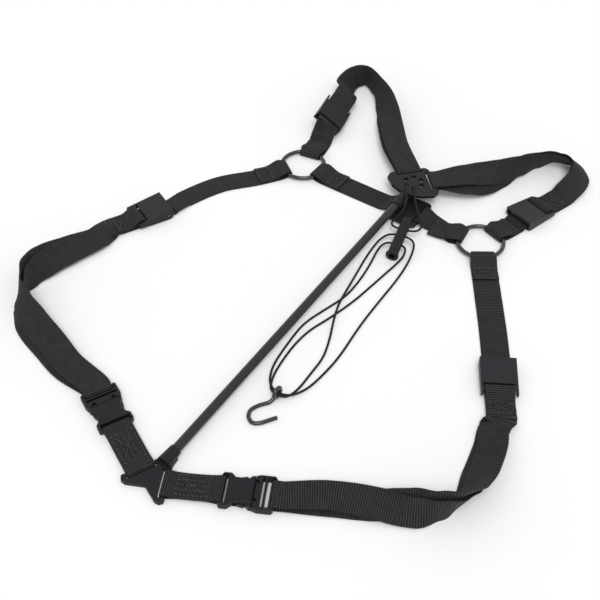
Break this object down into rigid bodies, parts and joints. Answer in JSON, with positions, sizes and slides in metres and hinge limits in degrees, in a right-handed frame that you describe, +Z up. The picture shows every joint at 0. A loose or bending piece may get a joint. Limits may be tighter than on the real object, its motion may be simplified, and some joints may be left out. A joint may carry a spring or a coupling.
{
  "type": "saxophone harness",
  "caption": "Two-shoulder webbing harness with a support rod between a waist bracket and a chest plate, cam buckles, side-release buckles, O-rings and a hook on a sliding cord.",
  "frame": {"origin": "centre of the waist bracket on its flat underside, in the plane that the harness lies on", "axes": "+Y up along the support rod towards the chest plate, +X to the right of the rod, +Z up from the ground"},
  "size_m": [0.466, 0.5649, 0.0338],
  "materials": {
    "webbing": "ribbed woven webbing",
    "cord": "smooth braided cord",
    "moulding": "matte moulded",
    "rod": "satin",
    "ring_wire": "gloss black",
    "hook_wire": "plastic-coated gloss",
    "steel_pin": "plain"
  },
  "bodies": {
    "harness": {"waist_bracket": "moulding", "rod_tube": "rod", "chest_plate": "moulding", "back_plate": "moulding", "cross_strap": "webbing", "strap_waist_left": "webbing", "cam_base_waist_left": "moulding", "cam_pin_waist_left": "steel_pin", "strap_waist_right": "webbing", "cam_base_waist_right": "moulding", "cam_pin_waist_right": "steel_pin", "strap_shoulder_left": "webbing", "cam_base_shoulder_left": "moulding", "cam_pin_shoulder_left": "steel_pin", "strap_shoulder_right": "webbing", "cam_base_shoulder_right": "moulding", "cam_pin_shoulder_right": "steel_pin", "tab_left": "webbing", "buckle_socket_left": "moulding", "buckle_plug_left": "moulding", "tab_right": "webbing", "buckle_socket_right": "moulding", "buckle_plug_right": "moulding", "cord_slider": "moulding", "plate_knots": "cord", "slider_knot": "cord", "neck_cord": "cord", "hook_cord": "cord"},
    "lid_waist_left": {"cam_lid_waist_left": "moulding", "strap_tail_waist_left": "webbing"},
    "lid_waist_right": {"cam_lid_waist_right": "moulding", "strap_tail_waist_right": "webbing"},
    "lid_shoulder_left": {"cam_lid_shoulder_left": "moulding", "strap_tail_shoulder_left": "webbing"},
    "lid_shoulder_right": {"cam_lid_shoulder_right": "moulding", "strap_tail_shoulder_right": "webbing"},
    "arm_upper_left": {"buckle_arm_upper_left": "moulding"},
    "arm_lower_left": {"buckle_arm_lower_left": "moulding"},
    "arm_upper_right": {"buckle_arm_upper_right": "moulding"},
    "arm_lower_right": {"buckle_arm_lower_right": "moulding"},
    "ring_left_body": {"ring_left": "ring_wire"},
    "ring_right_body": {"ring_right": "ring_wire"},
    "hook_body": {"hook": "hook_wire"}
  },
  "joints": [
    {"name": "open_waist_left", "type": "hinge", "parent": "harness", "child": "lid_waist_left", "pos_m": [-0.19379, 0.24874, 0.005], "axis": [-0.9063, 0.4226, 0], "range_deg": [0, 40]},
    {"name": "open_waist_right", "type": "hinge", "parent": "harness", "child": "lid_waist_right", "pos_m": [0.17145, 0.24729, 0.005], "axis": [-0.866, -0.5, 0], "range_deg": [0, 40]},
    {"name": "open_shoulder_left", "type": "hinge", "parent": "harness", "child": "lid_shoulder_left", "pos_m": [-0.12743, 0.44853, 0.015], "axis": [-0.8013, -0.1703, 0.5736], "range_deg": [0, 40]},
    {"name": "open_shoulder_right", "type": "hinge", "parent": "harness", "child": "lid_shoulder_right", "pos_m": [0.10649, 0.43047, 0.005], "axis": [0.9426, -0.3338, 0], "range_deg": [0, 40]},
    {"name": "squeeze_upper_left", "type": "hinge", "parent": "harness", "child": "arm_upper_left", "pos_m": [-0.08248, 0.02515, 0.0039], "axis": [0, 0, 1], "range_deg": [0, 12], "stiffness_Nm_per_rad": 0.02},
    {"name": "squeeze_lower_left", "type": "hinge", "parent": "harness", "child": "arm_lower_left", "pos_m": [-0.07498, 0.04018, 0.0039], "axis": [0, 0, -1], "range_deg": [0, 12], "stiffness_Nm_per_rad": 0.02},
    {"name": "squeeze_upper_right", "type": "hinge", "parent": "harness", "child": "arm_upper_right", "pos_m": [0.0714, 0.0384, 0.0039], "axis": [0, 0, 1], "range_deg": [0, 12], "stiffness_Nm_per_rad": 0.02},
    {"name": "squeeze_lower_right", "type": "hinge", "parent": "harness", "child": "arm_lower_right", "pos_m": [0.0789, 0.02337, 0.0039], "axis": [0, 0, -1], "range_deg": [0, 12], "stiffness_Nm_per_rad": 0.02},
    {"name": "turn_ring_left", "type": "hinge", "parent": "harness", "child": "ring_left_body", "pos_m": [-0.1167, 0.3827, 0.00385], "axis": [0, 0, 1], "continuous": true},
    {"name": "turn_ring_right", "type": "hinge", "parent": "harness", "child": "ring_right_body", "pos_m": [0.0886, 0.3795, 0.00385], "axis": [0, 0, 1], "continuous": true},
    {"name": "swing_hook", "type": "hinge", "parent": "harness", "child": "hook_body", "pos_m": [0.034, 0.1188, 0.00635], "axis": [-1, 0, 0], "range_deg": [0, 60]}
  ]
}
